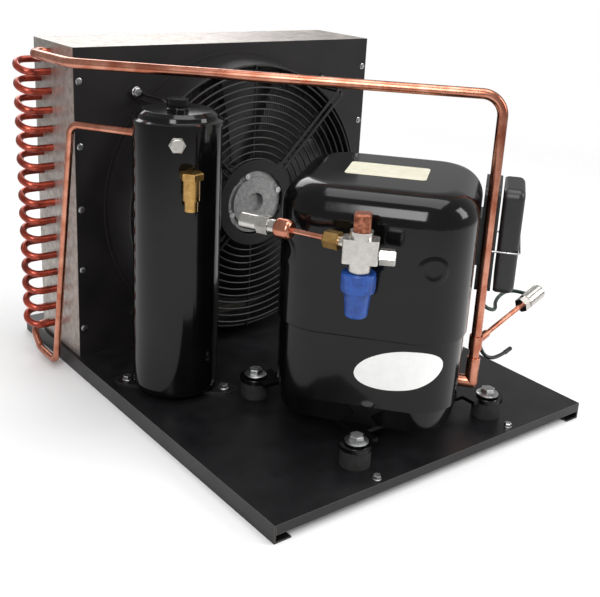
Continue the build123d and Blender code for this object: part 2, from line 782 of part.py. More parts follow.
# Flange bolts hold the feet down through their sleeves.
bolt_flange = 2.0
with BuildPart() as compressor_bolts:
    with BuildSketch(Plane.XY.offset(sleeve_top)):
        with Locations(compressor_at):
            with GridLocations(*foot_grid):
                Circle(14)
    extrude(amount=bolt_flange)
    with BuildSketch(Plane.XY.offset(sleeve_top + bolt_flange)):
        with Locations(compressor_at):
            with GridLocations(*foot_grid):
                RegularPolygon(8.5, 6)
    extrude(amount=6)
    chamfer(compressor_bolts.faces().group_by(Axis.Z)[-1].edges(), length=1.0)
    with BuildSketch(Plane.XY.offset(floor)):
        with Locations(compressor_at):
            with GridLocations(*foot_grid):
                Circle(foot_bolt / 2)
    extrude(amount=sleeve_top - floor)
label(compressor_bolts.part, "compressor_bolts")

# Inside the sealed shell: a pump block on four springs, the motor stator above it,
# and the crankshaft with its rotor.
pump_bottom = 92.0
pump_height = 62.0
stator_height = 96.0
spring_radius = 9.0
spring_spread = 66.0
with BuildPart() as pump_block:
    with BuildSketch(Plane.XY.offset(pump_bottom)):
        with Locations(Location((*compressor_at, 0), (0, 0, shell_turn))):
            RectangleRounded(150, 150, 30)
            Circle(11.05, mode=Mode.SUBTRACT)
    extrude(amount=pump_height)
    with BuildSketch(face_plane(shell_turn, pump_bottom + pump_height / 2, 80)):
        Circle(19.05)
    extrude(amount=-55, mode=Mode.SUBTRACT)
label(pump_block.part, "pump_block")

with BuildPart() as motor_stator_core:
    with BuildSketch(Plane.XY.offset(pump_bottom + pump_height)):
        with Locations(compressor_at):
            Circle(76)
            Circle(39, mode=Mode.SUBTRACT)
    extrude(amount=stator_height)
label(motor_stator_core.part, "compressor_stator")

with BuildPart() as crankshaft:
    with BuildSketch(Plane.XY.offset(pump_bottom - 12)):
        with Locations(compressor_at):
            Circle(11)
    extrude(amount=pump_height + stator_height + 20)
    with BuildSketch(Plane.XY.offset(pump_bottom + pump_height + 4)):
        with Locations(compressor_at):
            Circle(38.2)
    extrude(amount=stator_height - 8)
label(crankshaft.part, "crankshaft_rotor")

with BuildPart() as piston:
    with BuildSketch(face_plane(shell_turn, pump_bottom + pump_height / 2, 68)):
        Circle(19)
    extrude(amount=-26)
label(piston.part, "piston")

spring_base = plate_top + shell_wall
with BuildPart() as pump_springs:
    with BuildSketch(Plane.XY.offset(spring_base)):
        with Locations(Location((*compressor_at, 0), (0, 0, shell_turn))):
            with GridLocations(2 * spring_spread, 2 * spring_spread, 2, 2):
                Circle(spring_radius)
                Circle(spring_radius - 3, mode=Mode.SUBTRACT)
    extrude(amount=pump_bottom - spring_base)
label(pump_springs.part, "pump_springs")

# ---- terminal box ----
box_seat = shell_side / 2 + 2.0
with BuildPart() as terminal_box:
    with BuildSketch(face_plane(normal_angle, (box_bottom + box_top) / 2, box_seat, box_middle)):
        RectangleRounded(box_width, box_height, 12)
    extrude(amount=box_base_depth)
    with BuildSketch(face_plane(normal_angle, (box_bottom + box_top) / 2, box_seat + box_wall, box_middle)):
        RectangleRounded(box_width - 2 * box_wall, box_height - 2 * box_wall, 10)
    extrude(amount=box_base_depth, mode=Mode.SUBTRACT)
label(terminal_box.part, "terminal_box")

cover_seat = box_seat + box_base_depth + fit
cover_depth = box_depth - box_base_depth - 2.0
with BuildPart() as terminal_cover:
    with BuildSketch(face_plane(normal_angle, (box_bottom + box_top) / 2, cover_seat, box_middle)):
        RectangleRounded(box_width, box_height, 12)
    extrude(amount=cover_depth)
    fillet(terminal_cover.faces().sort_by(Axis.Y)[0].edges(), radius=8)
    with BuildSketch(face_plane(normal_angle, (box_bottom + box_top) / 2, cover_seat, box_middle)):
        RectangleRounded(box_width - 2 * box_wall, box_height - 2 * box_wall, 10)
    extrude(amount=cover_depth - 8, mode=Mode.SUBTRACT)
label(terminal_cover.part, "terminal_cover")

with BuildPart() as terminal_block:
    with BuildSketch(face_plane(normal_angle, (box_bottom + box_top) / 2, box_seat + box_wall, box_middle)):
        RectangleRounded(44, 60, 6)
    extrude(amount=14)
label(terminal_block.part, "terminal_block")

# Wire bail round the cover. Its ends lie beside the box with a side clearance; no pivot is modelled.
bail_wire = 2.4
bail_height = 238.0
bail_reach = box_seat + box_base_depth / 2
bail_side_clearance = 0.7
bail_half = box_width / 2 + bail_wire / 2 + bail_side_clearance
bail_front = cover_seat + cover_depth + bail_wire / 2 + fit
bail_points = [
    face_plane(normal_angle, bail_height, bail_reach, box_middle - bail_half).origin,
    face_plane(normal_angle, bail_height, bail_front, box_middle - bail_half).origin,
    face_plane(normal_angle, bail_height, bail_front, box_middle + bail_half).origin,
    face_plane(normal_angle, bail_height, bail_reach, box_middle + bail_half).origin,
]
label(bent_tube(bail_points, 6.0, bail_wire), "cover_bail")

# ---- suction valve ----
suction_angle = -142.0
suction_reach = shell_side / 2 + 39.0
suction_x, suction_y = around(compressor_at, suction_reach, suction_angle)
suction_height = 279.0
suction_body_radius = 12.5
suction_body_bottom = suction_height - 23.0
suction_body_top = suction_height + 22.0
suction_stub = 9.6
wing_width = 39.0
wing_bottom = suction_height - 13.0
suction_port_radius = 7.94
suction_port_length = 16.0
access_angle = 112.5
gauge_angle = -44.0


def suction_plane(angle, height, reach):
    """Plane that looks out from the suction valve at a compass angle."""
    x, y = around((suction_x, suction_y), reach, angle)
    return Plane(origin=(x, y, height), x_dir=(-sin(radians(angle)), cos(radians(angle)), 0),
                 z_dir=(cos(radians(angle)), sin(radians(angle)), 0))


with BuildPart() as suction_valve_body:
    with BuildSketch(Plane.XY.offset(suction_body_bottom)):
        with Locations((suction_x, suction_y)):
            Circle(suction_body_radius)
    extrude(amount=suction_body_top - suction_body_bottom)
    with BuildSketch(Plane.XY.offset(wing_bottom)):
        with Locations((suction_x, suction_y)):
            RectangleRounded(wing_width, 22, 4, rotation=gauge_angle)
    extrude(amount=suction_body_top - 8 - wing_bottom)
    with BuildSketch(Plane.XY.offset(suction_body_bottom - suction_port_length)):
        with Locations((suction_x, suction_y)):
            Circle(suction_port_radius)
    extrude(amount=suction_port_length)
    with BuildSketch(suction_plane(gauge_angle, suction_height - 5, 0)):
        Circle(5.5)
    extrude(amount=28)
    with BuildSketch(suction_plane(access_angle, suction_height + 5, 0)):
        Circle(6)
    extrude(amount=25)
    with BuildSketch(suction_plane(shell_turn + 180, suction_height - 4, 0)):
        Circle(suction_stub)
    extrude(amount=suction_reach * cos(radians(suction_angle - shell_turn)) - shell_side / 2)
    with BuildSketch(Plane.XY.offset(suction_body_bottom - suction_port_length)):
        with Locations((suction_x, suction_y)):
            Circle(6.35)
    extrude(amount=suction_port_length + 8, mode=Mode.SUBTRACT)
    with BuildSketch(Plane.XY.offset(suction_body_top)):
        with Locations((suction_x, suction_y)):
            Circle(5.1)
    extrude(amount=-30, mode=Mode.SUBTRACT)
label(suction_valve_body.part, "suction_valve_body")

with BuildPart() as suction_valve_stem:
    with BuildSketch(Plane.XY.offset(suction_body_top - 28)):
        with Locations((suction_x, suction_y)):
            Circle(5)
    extrude(amount=28)
    with BuildSketch(Plane.XY.offset(suction_body_top)):
        with Locations((suction_x, suction_y)):
            Rectangle(6.4, 6.4, rotation=gauge_angle)
    extrude(amount=9)
label(suction_valve_stem.part, "suction_valve_stem")

with BuildPart() as suction_stem_cap:
    with BuildSketch(Plane.XY.offset(suction_body_top + fit)):
        with Locations((suction_x, suction_y)):
            RectangleRounded(18.5, 18.5, 3, rotation=gauge_angle)
    extrude(amount=19)
    chamfer(suction_stem_cap.faces().sort_by(Axis.Z)[-1].edges(), length=1.5)
    with BuildSketch(Plane.XY.offset(suction_body_top + fit)):
        with Locations((suction_x, suction_y)):
            Circle(5.5)
    extrude(amount=14, mode=Mode.SUBTRACT)
label(suction_stem_cap.part, "suction_stem_cap")

with BuildPart() as gauge_port_cap:
    with BuildSketch(suction_plane(gauge_angle, suction_height - 5, wing_width / 2 + 1)):
        RegularPolygon(9.5, 6)
    extrude(amount=17)
    chamfer(gauge_port_cap.faces().sort_by(Axis.Y)[0].edges(), length=1.2)
    with BuildSketch(suction_plane(gauge_angle, suction_height - 5, wing_width / 2)):
        Circle(5.8)
    extrude(amount=12, mode=Mode.SUBTRACT)
label(gauge_port_cap.part, "gauge_port_cap")

blue_top = suction_body_bottom - 1.0
with BuildPart() as suction_dust_cap:
    with BuildSketch(Plane.XY.offset(blue_top - 21)):
        with Locations((suction_x, suction_y)):
            Circle(18.5)
    extrude(amount=21)
    with BuildSketch(Plane.XY.offset(blue_top - 21)):
        with Locations((suction_x, suction_y)):
            Circle(15)
    extrude(amount=-30, taper=5)
    fillet(suction_dust_cap.faces().sort_by(Axis.Z)[0].edges(), radius=3)
    fillet(suction_dust_cap.faces().sort_by(Axis.Z)[-1].edges(), radius=1.5)
    with BuildSketch(Plane.XY.offset(blue_top)):
        with Locations((suction_x, suction_y)):
            Circle(suction_port_radius + 0.1)
    extrude(amount=-suction_port_length - 1, mode=Mode.SUBTRACT)
label(suction_dust_cap.part, "suction_dust_cap")

# Access line: a flare nut, a thin copper tube, a swaged copper bulb and a nickel access valve.
access_height = suction_height + 5
with BuildPart() as access_nut:
    with BuildSketch(suction_plane(access_angle, access_height, 25)):
        RegularPolygon(10.5, 6)
        Circle(gauge_diameter / 2, mode=Mode.SUBTRACT)
    extrude(amount=19)
    chamfer(access_nut.faces().sort_by(Axis.Y)[-1].outer_wire().edges(), length=2)
label(access_nut.part, "access_nut")

with BuildPart() as access_tube:
    with BuildSketch(suction_plane(access_angle, access_height, 84)):
        Circle(11.5)
    extrude(amount=21)
    fillet(access_tube.edges(), radius=5)
    with BuildSketch(suction_plane(access_angle, access_height, 25)):
        Circle(gauge_diameter / 2)
    extrude(amount=62)
label(access_tube.part, "access_tube")

with BuildPart() as access_valve:
    with BuildSketch(suction_plane(access_angle, access_height, 105)):
        Circle(8)
    extrude(amount=12)
    with BuildSketch(suction_plane(access_angle, access_height, 113)):
        RegularPolygon(11, 6)
    extrude(amount=14)
    with BuildSketch(suction_plane(access_angle, access_height, 127)):
        Circle(9)
    extrude(amount=22)
label(access_valve.part, "access_valve")

# ---- discharge line ----
discharge_height = front_tubes[-1][1]
discharge_foot = face_plane(normal_angle, 0, shell_side / 2 + foot_clearance, entry_along).origin
corner_clearance = 17.0
discharge_points = [
    (-inlet_stub_end, front_column, discharge_height),
    (-(coil_width / 2 + 25), front_column, discharge_height),
    (-(coil_width / 2 + corner_clearance), shroud_front - 30, discharge_height),
    (discharge_foot.X, discharge_foot.Y, discharge_height),
    (discharge_foot.X, discharge_foot.Y, entry_height),
]
label(bent_tube(discharge_points, [14.0, 40.0, 25.0], discharge_diameter), "discharge_line")

# The stub leaves the shell level and turns up into a socket for the line.
with BuildPart() as discharge_stub:
    with BuildSketch(Plane.XY.offset(stub_height)):
        with Locations((discharge_foot.X, discharge_foot.Y)):
            Circle(reducer_radius)
    extrude(amount=34)
    with BuildSketch(face_plane(normal_angle, stub_height, shell_side / 2 - 9, entry_along)):
        Circle(reducer_radius)
    extrude(amount=9 + foot_clearance)
    with Locations((discharge_foot.X, discharge_foot.Y, stub_height)):
        Sphere(reducer_radius)
    with BuildSketch(Plane.XY.offset(entry_height)):
        with Locations((discharge_foot.X, discharge_foot.Y)):
            Circle(discharge_diameter / 2)
    extrude(amount=40, mode=Mode.SUBTRACT)
label(discharge_stub.part, "discharge_stub")

# Tee on the discharge line, with the tube to the pressure switch.
tee_height = 122.0
tee_length = 18.0
tee_radius = 8.2
branch = Vector(96, 6, 32).normalized()
tee_centre = Vector(discharge_foot.X, discharge_foot.Y, tee_height)
with BuildPart() as discharge_tee:
    with BuildSketch(Plane.XY.offset(tee_height - tee_length / 2)):
        with Locations((discharge_foot.X, discharge_foot.Y)):
            Circle(tee_radius)
    extrude(amount=tee_length)
    with BuildSketch(Plane(origin=tee_centre, z_dir=branch)):
        Circle(5)
    extrude(amount=22)
    with BuildSketch(Plane.XY.offset(tee_height - tee_length)):
        with Locations((discharge_foot.X, discharge_foot.Y)):
            Circle(discharge_diameter / 2)
    extrude(amount=2 * tee_length, mode=Mode.SUBTRACT)
label(discharge_tee.part, "discharge_tee")

switch_start = 92.0
switch_hex = 10.0
switch_body_length = 30.0
label(straight_tube(tee_centre + branch * 22, tee_centre + branch * switch_start, gauge_diameter),
      "switch_tube")

with BuildPart() as pressure_switch:
    with BuildSketch(Plane(origin=tee_centre + branch * switch_start, z_dir=branch)):
        RegularPolygon(switch_hex, 6)
    extrude(amount=10)
    with BuildSketch(Plane(origin=tee_centre + branch * (switch_start + 10), z_dir=branch)):
        Circle(switch_hex)
    extrude(amount=switch_body_length)
    fillet(pressure_switch.faces().sort_by(Axis.X)[-1].edges(), radius=3)
label(pressure_switch.part, "pressure_switch")

# ---- liquid line, from the coil's lowest tube to the receiver ----
inlet_x, inlet_y = around(receiver_at, receiver_radius - receiver_wall, inlet_angle)
inlet_run_x, inlet_run_y = around(receiver_at, 150, inlet_angle)
liquid_low = 11.0
liquid_points = [
    (-(plate_inside + fit), *back_tubes[0]),
    (-(coil_width / 2 + 24), *back_tubes[0]),
    (-(coil_width / 2 + 24), back_column - 26, liquid_low),
    (-(coil_width / 2 + 24), shroud_front + 26, liquid_low),
    (inlet_run_x, inlet_run_y, inlet_height),
    (inlet_x, inlet_y, inlet_height),
]
label(bent_tube(liquid_points, 14.0, liquid_diameter), "liquid_line")

# ---- small studs in front of the compressor's front feet ----
stud_inset = 10.0
with BuildPart() as base_studs:
    with BuildSketch(Plane.XY.offset(floor)):
        with GridLocations(foot_spacing_x, 1, 2, 1):
            with Locations((compressor_at[0], stud_inset - base_depth / 2)):
                RegularPolygon(5.5, 6)
    extrude(amount=5)
label(base_studs.part, "base_studs")

# ---- leads ----
def hand_bend(points):
    """Largest tidy arc for each corner of a lead: 0.45 of the shorter run over tan of half the turn."""
    radii = []
    for before, corner, after in zip(points, points[1:], points[2:]):
        first = Vector(*corner) - Vector(*before)
        second = Vector(*after) - Vector(*corner)
        turn = first.get_angle(second)
        radii.append(0.45 * min(first.length, second.length) / tan(radians(turn / 2)))
    return radii


def lead(points, diameter, name):
    radii = hand_bend(points)
    print(name, "radii", [round(radius, 1) for radius in radii])
    with BuildPart() as tube:
        with BuildLine() as route:
            FilletPolyline(*points, radius=radii)
        with BuildSketch(Plane(origin=route.line @ 0, z_dir=route.line % 0)):
            Circle(diameter / 2)
        sweep()
    length = sum(edge.length for edge in route.edges())
    print(name, "length", round(length, 1),
          "volume ratio", round(tube.part.volume / (pi * diameter ** 2 / 4 * length), 4))
    label(tube.part, name)


lead_diameter = 5.0
gland_radius = 5.0
gland_length = 8.0
gland_reach = box_seat + box_base_depth / 2
heater_gland = face_plane(normal_angle, 0, gland_reach, box_near + 14).origin
switch_gland = face_plane(normal_angle, 0, gland_reach, box_near + 34).origin
fan_gland = face_plane(normal_angle, 0, gland_reach, box_near + 66).origin
glands = [heater_gland, switch_gland, fan_gland]

with BuildPart() as box_glands:
    with BuildSketch(Plane.XY.offset(box_bottom - gland_length)):
        with Locations(*[(spot.X, spot.Y) for spot in glands]):
            Circle(gland_radius)
    extrude(amount=gland_length)
label(box_glands.part, "box_glands")

lead_start = box_bottom - gland_length
heater_lead_points = [
    (heater_gland.X, heater_gland.Y, lead_start),
    (heater_gland.X, heater_gland.Y, lead_start - 34),
    (heater_gland.X + 8, heater_gland.Y + 2, lead_start - 68),
    (heater_gland.X + 27, heater_gland.Y + 4, lead_start - 94),
    (heater_gland.X + 58, heater_gland.Y + 8, lead_start - 104),
    (heater_gland.X + 84, heater_gland.Y + 12, lead_start - 100),
]
lead(heater_lead_points, lead_diameter, "heater_lead")

# The lead hangs below its gland, loops past the switch and enters its side square.
switch_middle = tee_centre + branch * (switch_start + 10 + switch_body_length / 2)
switch_side = Vector(-branch.Y, branch.X, 0).normalized()
switch_entry = switch_middle + switch_side * switch_hex
switch_turn = switch_entry + switch_side * 26
switch_lead_points = [
    (switch_gland.X, switch_gland.Y, lead_start),
    (switch_gland.X, switch_gland.Y, lead_start - 20),
    (switch_gland.X + 26, switch_gland.Y - 6, lead_start - 34),
    (switch_turn.X - 29, switch_turn.Y, switch_turn.Z - 10),
    (switch_turn.X, switch_turn.Y, switch_turn.Z),
    (switch_entry.X, switch_entry.Y, switch_entry.Z),
]
lead(switch_lead_points, lead_diameter, "switch_lead")
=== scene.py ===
from math import cos, pi, radians, sin, tan

import bpy
from mathutils import Matrix, Vector


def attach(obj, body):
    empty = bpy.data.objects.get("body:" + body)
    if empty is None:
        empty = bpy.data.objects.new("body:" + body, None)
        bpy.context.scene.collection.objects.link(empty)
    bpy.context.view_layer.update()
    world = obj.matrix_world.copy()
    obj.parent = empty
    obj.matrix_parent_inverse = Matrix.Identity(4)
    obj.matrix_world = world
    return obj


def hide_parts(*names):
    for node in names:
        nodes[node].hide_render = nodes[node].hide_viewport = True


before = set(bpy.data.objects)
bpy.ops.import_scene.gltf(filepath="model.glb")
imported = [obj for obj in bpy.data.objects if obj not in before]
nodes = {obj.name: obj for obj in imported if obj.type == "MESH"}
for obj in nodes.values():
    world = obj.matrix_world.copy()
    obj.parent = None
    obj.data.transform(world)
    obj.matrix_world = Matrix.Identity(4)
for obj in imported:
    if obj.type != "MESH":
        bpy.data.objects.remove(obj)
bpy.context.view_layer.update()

bpy.ops.object.select_all(action="DESELECT")
MM = 0.001

# ---- camera ----
camera_azimuth = radians(-38.51)
camera_elevation = radians(18.53)
camera_roll = radians(3.11)
camera_back = Vector((
    sin(camera_azimuth) * cos(camera_elevation),
    -cos(camera_azimuth) * cos(camera_elevation),
    sin(camera_elevation),
))
level_right = (-camera_back).cross(Vector((0, 0, 1))).normalized()
level_up = level_right.cross(-camera_back)
camera_x = cos(camera_roll) * level_right + sin(camera_roll) * level_up
camera_y = cos(camera_roll) * level_up - sin(camera_roll) * level_right
bpy.ops.object.camera_add()
camera = bpy.context.object
turn = Matrix((camera_x, camera_y, camera_back)).transposed().to_4x4()
camera.matrix_world = Matrix.Translation((-0.7527, -0.9681, 0.5939)) @ turn
camera.data.sensor_width = 36
camera.data.lens = 56.72
camera.data.shift_y = -0.081
camera.data.clip_end = 200
bpy.context.scene.camera = camera


# ---- helpers ----
def linear(code):
    """Linear colour of an sRGB hex code."""
    channels = [int(code[i:i + 2], 16) / 255 for i in (1, 3, 5)]
    return [c / 12.92 if c <= 0.04045 else ((c + 0.055) / 1.055) ** 2.4 for c in channels] + [1]


def add_node(tree, kind, settings=None, links=None):
    """Adds a node, sets its sockets or properties, and links its inputs."""
    made = tree.nodes.new(kind)
    for name, value in (settings or {}).items():
        if isinstance(name, int) or name in made.inputs:
            made.inputs[name].default_value = value
        else:
            setattr(made, name, value)
    for name, (source, output) in (links or {}).items():
        tree.links.new(source.outputs[output], made.inputs[name])
    return made


def finish_of(name, light, dark, grain, rough, swing, dent, dent_size, stretch=(1, 1, 1), **shader):
    """A finish with two tones in patches of grain mm, roughness about rough, and dents of dent mm.

    stretch turns round patches into streaks. What else is given goes to the shader's own sockets.
    """
    material = bpy.data.materials.new(name)
    material.use_nodes = True
    tree = material.node_tree
    tree.nodes.clear()
    place = add_node(tree, "ShaderNodeTexCoord")
    streak = add_node(tree, "ShaderNodeMapping", {"Scale": stretch}, {"Vector": (place, "Object")})
    patches = add_node(
        tree, "ShaderNodeTexNoise",
        {"Scale": 1 / (grain * MM), "Detail": 4.0, "Roughness": 0.6}, {"Vector": (streak, 0)},
    )
    spread = add_node(
        tree, "ShaderNodeMapRange", {"From Min": 0.36, "From Max": 0.64}, {"Value": (patches, 0)}
    )
    tones = add_node(
        tree, "ShaderNodeMix", {"data_type": "RGBA", 6: linear(dark), 7: linear(light)},
        {0: (spread, 0)},
    )
    rubbed = add_node(
        tree, "ShaderNodeTexNoise", {"Scale": 0.37 / (grain * MM), "Detail": 3.0},
        {"Vector": (streak, 0)},
    )
    sheen = add_node(
        tree, "ShaderNodeMapRange",
        {"From Min": 0.3, "From Max": 0.7, "To Min": rough - swing, "To Max": rough + swing},
        {"Value": (rubbed, 0)},
    )
    pits = add_node(
        tree, "ShaderNodeTexNoise", {"Scale": 1 / (dent_size * MM), "Detail": 2.0},
        {"Vector": (place, "Object")},
    )
    bump = add_node(
        tree, "ShaderNodeBump", {"Strength": 0.6, "Distance": dent * MM}, {"Height": (pits, 0)}
    )
    surface = add_node(
        tree, "ShaderNodeBsdfPrincipled", shader,
        {"Base Color": (tones, 2), "Roughness": (sheen, 0), "Normal": (bump, 0)},
    )
    add_node(tree, "ShaderNodeOutputMaterial", None, {"Surface": (surface, 0)})
    return material


def worn_and_highlit_edges(material, wear_and_highlight_tone, width, amount):
    """Rubbed wear and a painted highlight along the sharp edges: the colour turns towards the paler edge
    tone within width mm of an edge.
    """
    tree = material.node_tree
    surface = next(n for n in tree.nodes if n.type == "BSDF_PRINCIPLED")
    tones = next(n for n in tree.nodes if n.type == "MIX")
    face = add_node(tree, "ShaderNodeNewGeometry")
    eased = add_node(tree, "ShaderNodeBevel", {"samples": 4, "Radius": width * MM})
    across = add_node(
        tree, "ShaderNodeVectorMath", {"operation": "DOT_PRODUCT"},
        {0: (eased, 0), 1: (face, "Normal")},
    )
    edge = add_node(
        tree, "ShaderNodeMapRange",
        {"From Min": 0.99, "From Max": 0.9, "To Min": 0.0, "To Max": amount},
        {"Value": (across, "Value")},
    )
    # Paler tone mixed in at the edges: rubbed wear together with a painted highlight.
    wear_and_highlight_mix = add_node(
        tree, "ShaderNodeMix", {"data_type": "RGBA", 7: linear(wear_and_highlight_tone)},
        {0: (edge, 0), 6: (tones, 2)},
    )
    tree.links.new(wear_and_highlight_mix.outputs[2], surface.inputs["Base Color"])


# ---- finishes ----
# Powder coat on folded steel: near black, satin, with a fine orange peel and paler edges, partly rubbed
# wear and partly a painted highlight.
powder_coat = finish_of("Satin_powder_coat", "#1b1a1c", "#121113", 30, 0.36, 0.07, 0.05, 1.2,
                        **{"IOR": 1.5, "Specular IOR Level": 0.35})
worn_and_highlit_edges(powder_coat, "#8a8078", 0.8, 0.5)
# The same coat on the shroud and the fan's ring, duller where dust lies on it, its paler edges partly
# wear and partly a painted highlight.
dusty_coat = finish_of("Dusty_powder_coat", "#1a1717", "#121011", 45, 0.46, 0.08, 0.05, 1.2,
                       **{"IOR": 1.5, "Specular IOR Level": 0.35})
worn_and_highlit_edges(dusty_coat, "#6a645e", 0.6, 0.35)
# Baked enamel on drawn steel: deep black under a clear skin that mirrors the lamps.
enamel = finish_of("Gloss_black_enamel", "#0b0b0c", "#060607", 60, 0.12, 0.03, 0.05, 9,
                   **{"IOR": 1.5, "Specular IOR Level": 0.22, "Coat Weight": 0.12,
                      "Coat Roughness": 0.04})
# Plastic-coated steel wire of the guard: black and even.
wire_coat = finish_of("Dipped_wire_coat", "#1d1d1f", "#131314", 12, 0.34, 0.06, 0.03, 0.9,
                      **{"IOR": 1.5})
# Hot-dipped galvanised sheet: pale grey zinc in spangles some 9 mm across.
galvanised = finish_of("Galvanised_sheet", "#bdb6b0", "#a09993", 9, 0.42, 0.1, 0.03, 3,
                       **{"Metallic": 0.8})
# Aluminium fin stock: bright, thin, with a light dullness from handling.
fin_stock = finish_of("Fin_stock_aluminium", "#cbcbca", "#bdbdbd", 60, 0.42, 0.05, 0.02, 1.5,
                      **{"Metallic": 0.9})
# Drawn copper tube: warm red with paler and browner bands along the run, hardly tarnished.
copper = finish_of("Drawn_copper_tube", "#cf917a", "#a9634c", 26, 0.27, 0.08, 0.04, 5,
                   **{"Metallic": 1.0})
# Copper of the return bends, lacquered a deeper red than the bare pipes.
lacquered_copper = finish_of("Lacquered_copper_bends", "#b84a32", "#7c2a1c", 18, 0.3, 0.08, 0.03, 4,
                             **{"Metallic": 0.75, "Coat Weight": 0.4, "Coat Roughness": 0.15})
# Turned brass: yellow, with fine lathe marks too small to show but for a soft sheen.
brass = finish_of("Turned_brass", "#c9a468", "#b38a4e", 6, 0.3, 0.07, 0.02, 0.8,
                  **{"Metallic": 1.0})
# Nickel plate on the forged valve: pale, bright, slightly uneven like the forging under it.
nickel = finish_of("Nickel_plated_forging", "#cbc8c3", "#bdbab4", 7, 0.27, 0.07, 0.06, 1.6,
                   **{"Metallic": 1.0})
# Oxidised copper of the stem cap: brown, matt in the hollows.
brown_cap = finish_of("Oxidised_copper_cap", "#b4745a", "#6f3f30", 5, 0.42, 0.08, 0.03, 1.0,
                      **{"Metallic": 0.9})
# Zinc plate on screws and bolts: bluish grey and bright.
zinc = finish_of("Zinc_plate", "#c4c5c5", "#a3a4a5", 4, 0.33, 0.08, 0.02, 0.8,
                 **{"Metallic": 1.0})
# Die-cast aluminium, shot-blasted: pale grey with a fine grit.
cast_aluminium = finish_of("Blasted_die_cast_aluminium", "#a9a9a8", "#8f8f8f", 5, 0.5, 0.08, 0.12, 0.9,
                           **{"Metallic": 0.85})
# Ground steel of shafts and wire: plain grey with faint turning marks.
steel = finish_of("Ground_steel", "#b9b9b8", "#858586", 5, 0.3, 0.07, 0.02, 0.7,
                  **{"Metallic": 1.0})
# Grey cast iron of the pump inside the shell, oiled.
cast_iron = finish_of("Oiled_cast_iron", "#55524f", "#383634", 5, 0.48, 0.1, 0.2, 1.1,
                      **{"Metallic": 0.8})
# Pressed steel fan blades, stove-painted black: smoother than the shroud, with a soft highlight.
blade_paint = finish_of("Stove_painted_blades", "#201f21", "#151416", 40, 0.33, 0.08, 0.05, 2.5,
                        **{"IOR": 1.5})
# Moulded nylon of the terminal box: black with a fine spark-eroded grain.
box_nylon = finish_of("Moulded_black_nylon", "#161617", "#0f0f10", 20, 0.42, 0.07, 0.08, 0.8,
                      **{"IOR": 1.53})
# Moulded polythene dust cap: strong blue and waxy.
blue_polythene = finish_of("Moulded_blue_polythene", "#1e4fa0", "#133a80", 9, 0.38, 0.06, 0.05, 1.5,
                           **{"IOR": 1.5, "Subsurface Weight": 0.08, "Subsurface Scale": 0.002})
# Moulded rubber of the feet: dull black with a grey bloom.
rubber = finish_of("Moulded_rubber", "#232322", "#171716", 8, 0.72, 0.08, 0.15, 1.0,
                   **{"IOR": 1.52})
# Sheath of the heater's lead: soft black vinyl.
black_vinyl = finish_of("Black_vinyl_sheath", "#1b1b1c", "#121213", 8, 0.36, 0.06, 0.03, 0.8,
                        **{"IOR": 1.53})
# Sheath of the switch's lead: grey-green vinyl.
grey_vinyl = finish_of("Grey_green_vinyl_sheath", "#3d5348", "#2a3a33", 8, 0.4, 0.06, 0.03, 0.8,
                       **{"IOR": 1.53})
# Blank labels: coated white paper under a clear film.
label_film = finish_of("Blank_label_film", "#f1f1ef", "#ececea", 12, 0.3, 0.05, 0.01, 2,
                       **{"IOR": 1.5, "Coat Weight": 0.3, "Coat Roughness": 0.2})
plate_film = finish_of("Blank_plate_film", "#e6e3cf", "#d9d5bd", 14, 0.4, 0.06, 0.01, 2,
                       **{"IOR": 1.5})

finishes = {
    powder_coat: ["base_pan", "receiver_foot"],
    dusty_coat: ["fan_shroud", "fan_ring", "motor_frame"],
    enamel: ["receiver_shell", "receiver_cap", "compressor_lower_shell", "compressor_upper_shell",
             "compressor_foot_plate"],
    galvanised: ["coil_side_plates", "coil_top_plate", "coil_bottom_plate"],
    copper: ["liquid_line", "discharge_line", "discharge_stub", "discharge_tee", "switch_tube",
             "access_tube"],
    lacquered_copper: ["return_bends"],
    brass: ["access_nut", "liquid_valve_body", "liquid_valve_cap"],
    nickel: ["suction_valve_body", "gauge_port_cap", "access_valve", "pressure_switch",
             "fusible_plug"],
    brown_cap: ["suction_stem_cap"],
    zinc: ["arm_bolts", "base_studs", "compressor_bolts", "fan_nut", "motor_screws",
           "receiver_bolts", "shroud_screws"],
    cast_aluminium: ["motor_end_cap", "motor_shell"],
    steel: ["compressor_sleeves", "compressor_stator", "cover_bail", "fan_shaft",
            "liquid_valve_stem", "suction_valve_stem", "motor_stator", "pump_springs"],
    cast_iron: ["crankshaft_rotor", "piston", "pump_block"],
    blade_paint: ["fan_impeller"],
    box_nylon: ["terminal_block", "terminal_box", "terminal_cover", "box_glands"],
    blue_polythene: ["suction_dust_cap"],
    rubber: ["compressor_grommets"],
    fin_stock: ["coil_fin_pack"],
    wire_coat: ["fan_guard"],
    black_vinyl: ["heater_lead"],
    grey_vinyl: ["switch_lead"],
}
for finish, members in finishes.items():
    for member in members:
        nodes[member].data.materials.clear()
        nodes[member].data.materials.append(finish)


# ---- ways of making the scene's own pieces ----
def settle(piece, smooth=35):
    """Puts the piece's place into its mesh, points its faces outwards and smooths it."""
    bpy.ops.object.select_all(action="DESELECT")
    piece.select_set(True)
    bpy.context.view_layer.objects.active = piece
    bpy.ops.object.transform_apply(location=True, rotation=True, scale=True)
    bpy.ops.object.mode_set(mode="EDIT")
    bpy.ops.mesh.select_all(action="SELECT")
    bpy.ops.mesh.normals_make_consistent(inside=False)
    bpy.ops.object.mode_set(mode="OBJECT")
    bpy.ops.object.shade_smooth_by_angle(angle=radians(smooth))
    piece.select_set(False)


